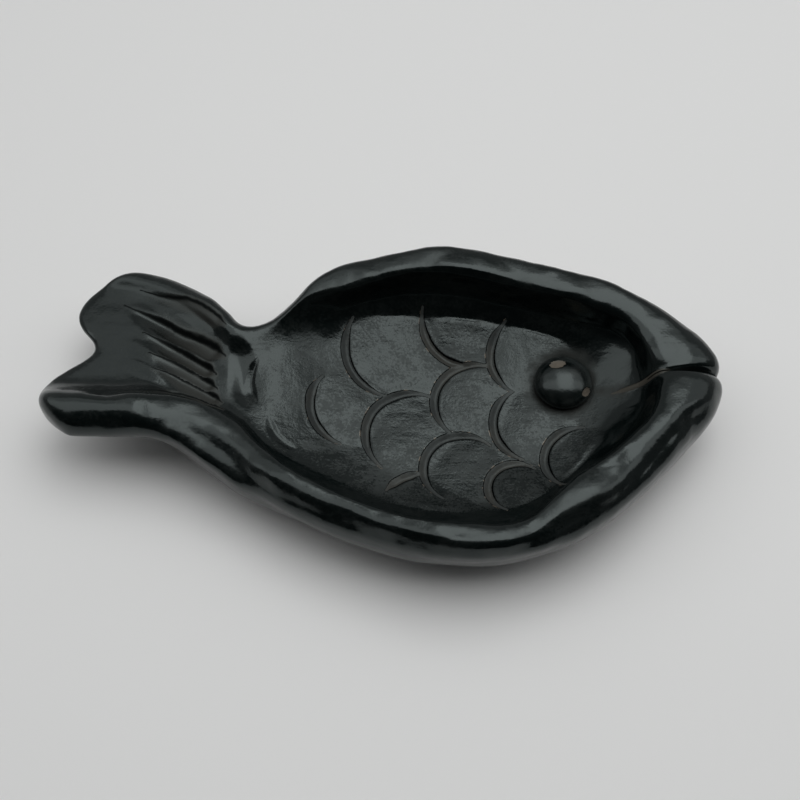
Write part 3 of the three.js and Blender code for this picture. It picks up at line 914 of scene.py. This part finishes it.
def burnished_clay():
    """Black clay rubbed with a stone: patches of shine, streaks along the fish and fine pits. The grooves
    stay matte. Black painted shade lines the sides of the grooves, one side of the tail rays and the
    mouth slit, and the floor near the mouth is painted darker as shade."""
    material, tree = new_material("burnished_clay")
    place = node(tree, "ShaderNodeTexCoord", {}).outputs["Object"]
    stretch = {"Vector": place, "Scale": STREAKS_STRETCH}
    stretched = node(tree, "ShaderNodeMapping", stretch).outputs["Vector"]
    patches = noise_field(tree, place, *PATCHES)
    blotches = noise_field(tree, place, *BLOTCHES)
    grain = noise_field(tree, place, *GRAIN)
    streaks = noise_field(tree, stretched, *STREAKS)
    on_floor = field(tree, "floor")

    worn = sum_of(tree, swinging(tree, patches, WORN_PATCHES), blotches)
    worn = sum_of(tree, worn, swinging(tree, grain, WORN_GRAIN))
    matte = product(tree, stepped(tree, worn, *MATTE_FROM), scaled(tree, on_floor, MATTE_OFF_FLOOR, 1))
    # Painted shade: less wear colour at the head end, so the floor there is darker as well as shinier
    matte = product(tree, matte, scaled(tree, field(tree, "shaded_head"), 1, MATTE_AT_SHADED_HEAD))
    colour = mixed(tree, matte, CLAY_DARK, CLAY_WORN)
    rough = sum_of(tree, scaled(tree, matte, *CLAY_ROUGHNESS), swinging(tree, streaks, STREAKS_ROUGHNESS))

    tool = sum_of(tree, field(tree, "tool"), swinging(tree, grain, GROOVE_RAGGED))
    inner = stepped(tree, field(tree, "side"), *INNER_SIDE)
    outer = stepped(tree, field(tree, "side"), *OUTER_SIDE)
    groove = stepped(tree, tool, *BED_EDGE)
    bed_colour = mixed(tree, stepped(tree, patches, *BED_PATCHES), BED_GREY, BED_BROWN)
    colour = mixed(tree, groove, colour, bed_colour)
    rough = mixed_value(tree, groove, rough, BED_ROUGHNESS)
    # Painted shade: black lines on the inner and outer sides of each groove, where its steep walls lie in
    # shade
    inner_shade_line = product(tree, band(tree, tool, *INNER_SHADE_LINE), inner)
    outer_shade_line = product(tree, band(tree, tool, *OUTER_SHADE_LINE), outer)
    line = sum_of(tree, inner_shade_line, outer_shade_line)
    colour = mixed(tree, line, colour, PAINTED_SHADE_BLACK)
    rough = mixed_value(tree, line, rough, SHADE_LINE_ROUGHNESS)

    gouge = sum_of(tree, field(tree, "gouge"), swinging(tree, blotches, RAY_RAGGED))
    near_root = stepped(tree, field(tree, "root"), *RAY_BED_REACH)
    ray_bed = product(tree, stepped(tree, gouge, *RAY_BED_EDGE), near_root)
    colour = mixed(tree, product(tree, ray_bed, RAY_BED_SHARE), colour, BED_BROWN)
    rough = mixed_value(tree, ray_bed, rough, BED_ROUGHNESS)
    # Painted shade: a black line on one side of each ray, where the step of the gouge lies in shade
    ray_side = stepped(tree, field(tree, "ray_side"), *RAY_SHADE_LINE_SIDE)
    ray_shade_line = product(tree, band(tree, gouge, *RAY_SHADE_LINE), ray_side)
    colour = mixed(tree, ray_shade_line, colour, PAINTED_SHADE_BLACK)
    rough = mixed_value(tree, ray_shade_line, rough, RAY_SHADE_LINE_ROUGHNESS)

    ragged = swinging(tree, patches, SLIP_RAGGED)
    halo = stepped(tree, sum_of(tree, field(tree, "ring"), ragged), *HALO_EDGE)
    wedge = stepped(tree, sum_of(tree, field(tree, "smear"), ragged), *WEDGE_EDGE)
    thickness = scaled(tree, stepped(tree, blotches, *SLIP_BLOTCHES), SLIP_THIN, 1)
    slip = product(tree, larger(tree, halo, wedge), thickness)
    colour = mixed(tree, slip, colour, SLIP_BROWN)
    rough = mixed_value(tree, slip, rough, SLIP_ROUGHNESS)
    seam = stepped(tree, field(tree, "seam"), *SEAM_EDGE)
    colour = mixed(tree, seam, colour, SEAM_BROWN)
    rough = mixed_value(tree, seam, rough, SEAM_ROUGHNESS)
    # Painted shade: black in the slit between the lips
    lips_shade = stepped(tree, field(tree, "lips_shade"), *LIPS_SHADE_EDGE)
    colour = mixed(tree, lips_shade, colour, PAINTED_SHADE_BLACK)
    rough = mixed_value(tree, lips_shade, rough, LIPS_SHADE_ROUGHNESS)

    burr = product(tree, band(tree, tool, *BURR_BAND), outer)
    flakes = stepped(tree, noise_field(tree, place, *BURR_FLAKES), *BURR_FLAKED)
    colour = mixed(tree, product(tree, burr, flakes), colour, CHIP_PALE)

    ripples = swinging(tree, noise_field(tree, place, *RIPPLES), BUMP_RIPPLES)
    height = sum_of(tree, swinging(tree, grain, BUMP_GRAIN), swinging(tree, streaks, BUMP_STREAKS))
    height = product(tree, sum_of(tree, height, ripples), scaled(tree, on_floor, BUMP_OFF_FLOOR, 1))
    shader = finish_shader(tree, colour, rough, height, BUMP_DEPTH)

    # The painted shade lines give back no shine: black metal there reflects nothing
    shineless_shade = larger(tree, larger(tree, line, product(tree, ray_shade_line, RAY_SHADE_SHINELESS)), lips_shade)
    tree.links.new(shineless_shade, shader.inputs["Metallic"])
    return material


def polished_clay():
    """The eye is rubbed to a higher shine."""
    material, tree = new_material("polished_clay")
    place = node(tree, "ShaderNodeTexCoord", {}).outputs["Object"]
    blotches = noise_field(tree, place, *EYE_BLOTCHES)
    grain = noise_field(tree, place, *EYE_GRAIN)
    colour = mixed(tree, stepped(tree, blotches, *EYE_WORN_FROM), CLAY_DARK, CLAY_WORN)
    rough = scaled(tree, blotches, *EYE_ROUGHNESS)
    ragged = sum_of(tree, field(tree, "chip"), swinging(tree, grain, CHIP_RAGGED))
    chip = stepped(tree, ragged, *CHIP_EDGE)
    chip_colour = mixed(tree, blotches, CHIP_PALE, SEAM_BROWN)
    colour = mixed(tree, chip, colour, chip_colour)
    rough = mixed_value(tree, chip, rough, CHIP_ROUGHNESS)
    height = sum_of(tree, scaled(tree, grain, 0, EYE_BUMP_GRAIN), blotches)
    finish_shader(tree, colour, rough, height, EYE_BUMP_DEPTH)
    return material


def store_field(mesh, name, values):
    mesh.attributes.new(name, "FLOAT", "POINT").data.foreach_set("value", values.astype(np.float32))


def store_marks(mesh, normals):
    """Keeps how near each point is to a mark, for the material."""
    points = points_of(mesh)
    across = nearness(points, CLEAR_MARKS)
    store_field(mesh, "tool", np.abs(across))
    store_field(mesh, "side", np.clip(across / SIDE_FULL, -1, 1))
    ray_across = nearness(points, TAIL_MARKS)
    store_field(mesh, "gouge", np.abs(ray_across))
    store_field(mesh, "ray_side", np.clip(ray_across / SIDE_FULL, -1, 1))
    store_field(mesh, "seam", np.abs(nearness(points, [SEAM_MARK])))
    # Where the painted shade of the slit between the lips lies, down to just under the slit
    below_slit = smoothstep(SLIT_BOTTOM_Z, SLIT_BOTTOM_Z - LIPS_SHADE_UNDER_SLIT, points[:, 2])
    store_field(mesh, "lips_shade", np.abs(nearness(points, [LIPS_MARK])) + FAR_ACROSS * below_slit)
    store_field(mesh, "ring", np.linalg.norm(points[:, :2] - EYE_PLACE, axis=1) - EYE_DIAMETER / 2)
    store_field(mesh, "smear", np.abs(beside(SMEAR_LINE, points[:, :2])[1]))
    store_field(mesh, "shaded_head", smoothstep(*SHINY_SHADED_HEAD_X, points[:, 0]))
    store_field(mesh, "root", TAIL_CUT_X - points[:, 0])
    flat = smoothstep(*FLOOR_FACING, normals[:, 2]) * smoothstep(*FLOOR_BELOW_Z, points[:, 2])
    store_field(mesh, "floor", flat * smoothstep(TAIL_CUT_X, TAIL_CUT_X + FLOOR_START, points[:, 0]))


def chipped_eye():
    """The eye pellet with the chips knocked out of its top."""
    mesh = ellipsoid(0)
    points = points_of(mesh)
    normals = normals_of(mesh)
    nearest = np.full(len(points), FAR_ACROSS)
    for place, (length, width), turn in EYE_CHIPS:
        offset = points[:, :2] - EYE_PLACE - place
        along = offset @ (math.cos(turn), math.sin(turn)) / (length / 2)
        across = offset @ (-math.sin(turn), math.cos(turn)) / (width / 2)
        nearest = np.minimum(nearest, np.hypot(along, across))
    top = normals[:, 2] > 0
    nearest[~top] = FAR_ACROSS
    points -= normals * (CHIP_DEPTH * smoothstep(*CHIP_SLOPE, nearest))[:, None]
    place_points(mesh, points)
    store_field(mesh, "chip", nearest)
    return mesh


def place_keys(points):
    """One whole number for each place, to find the same point in another mesh."""
    whole = np.round(points / SAME_PLACE).astype(np.int64)
    return (whole[:, 0] * KEY_SPAN + whole[:, 1]) * KEY_SPAN + whole[:, 2]


class WholeSkin:
    """The normals of the skin before it is parted, so that no line shows where the pieces meet."""

    def __init__(self, mesh):
        points = points_of(mesh)
        self.normals = normals_of(mesh)
        self.places = [Vector(point) for point in points]
        self.faces = [list(face.vertices) for face in mesh.polygons]
        self.tree = bvhtree.BVHTree.FromPolygons(self.places, self.faces)
        keys = place_keys(points)
        self.order = np.argsort(keys)
        self.keys = keys[self.order]

    def normals_for(self, mesh):
        """A point that the cuts left in place keeps its normal, and a new point on the skin gets one from
        the face it lies on."""
        points = points_of(mesh)
        normals = normals_of(mesh)
        keys = place_keys(points)
        at = np.minimum(np.searchsorted(self.keys, keys), len(self.keys) - 1)
        same = self.keys[at] == keys
        normals[same] = self.normals[self.order[at[same]]]
        for index in np.flatnonzero(~same):
            place, _, face, _ = self.tree.find_nearest(points[index], ON_SKIN)
            if face is not None:
                corners = self.faces[face]
                weights = poly_3d_calc([self.places[corner] for corner in corners], place)
                normals[index] = np.array(weights) @ self.normals[corners]
        return normals / np.linalg.norm(normals, axis=1)[:, None]


def finish_piece(name, mesh, node_name, material, normals=None):
    mesh.transform(Matrix.Scale(MM, 4))
    mesh.materials.clear()
    mesh.materials.append(material)
    mesh.polygons.foreach_set("use_smooth", np.ones(len(mesh.polygons), bool))
    if normals is not None:
        mesh.normals_split_custom_set_from_vertices(normals)
    made = new_object(name, mesh)
    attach(made, "root")
    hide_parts(node_name)


def make_dish():
    burnished = burnished_clay()
    polished = polished_clay()
    clay = fused_clay()
    whole = WholeSkin(clay)
    for cad_node, mesh in parted(clay).items():
        normals = whole.normals_for(mesh)
        store_marks(mesh, normals)
        finish_piece("clay_" + cad_node, mesh, cad_node, burnished, normals)
    finish_piece("clay_eye", chipped_eye(), "eye", polished)


def make_table():
    bm = bmesh.new()
    bmesh.ops.create_grid(bm, x_segments=2, y_segments=2, size=TABLE_HALF)
    mesh = mesh_from(bm, "table")
    table = new_object("table", mesh)
    material, tree = new_material("table")
    shader = tree.nodes["Principled BSDF"]
    shader.inputs["Base Color"].default_value = (*TABLE_COLOUR, 1)
    shader.inputs["Roughness"].default_value = TABLE_ROUGHNESS
    mesh.materials.append(material)


def make_light():
    for name, (place, size, brightness) in SOFTBOXES.items():
        lamp = bpy.data.lights.new(name, "AREA")
        lamp.shape = "RECTANGLE"
        lamp.size, lamp.size_y = size
        lamp.energy = brightness * math.pi * size[0] * size[1]
        new_object(name, lamp).location = (*place, SOFTBOX_HEIGHT)
    world = bpy.data.worlds.new("room")
    world.use_nodes = True
    tree = world.node_tree
    direction = node(tree, "ShaderNodeTexCoord", {}).outputs["Generated"]
    backwards = node(tree, "ShaderNodeSeparateXYZ", {"Vector": direction}).outputs["Y"]
    change = {
        "Value": backwards,
        "From Min": -ROOM_SPREAD,
        "From Max": ROOM_SPREAD,
        "To Min": ROOM_BEFORE,
        "To Max": ROOM_BEHIND,
    }
    strength = node(tree, "ShaderNodeMapRange", change).outputs["Result"]
    background = tree.nodes["Background"]
    background.inputs["Color"].default_value = ROOM_WHITE
    tree.links.new(strength, background.inputs["Strength"])
    bpy.context.scene.world = world


def make_camera():
    target = Vector(VIEW_TARGET) * MM
    back = Vector((0, -math.cos(VIEW_ELEVATION), math.sin(VIEW_ELEVATION)))
    lens = bpy.data.cameras.new("camera")
    lens.angle = VIEW_ANGLE
    camera = new_object("camera", lens)
    camera.location = target + back * VIEW_DISTANCE * MM
    camera.rotation_euler = back.to_track_quat("Z", "Y").to_euler()
    bpy.context.scene.camera = camera


make_dish()
make_table()
make_light()
make_camera()
bpy.context.scene.view_settings.view_transform = "Standard"
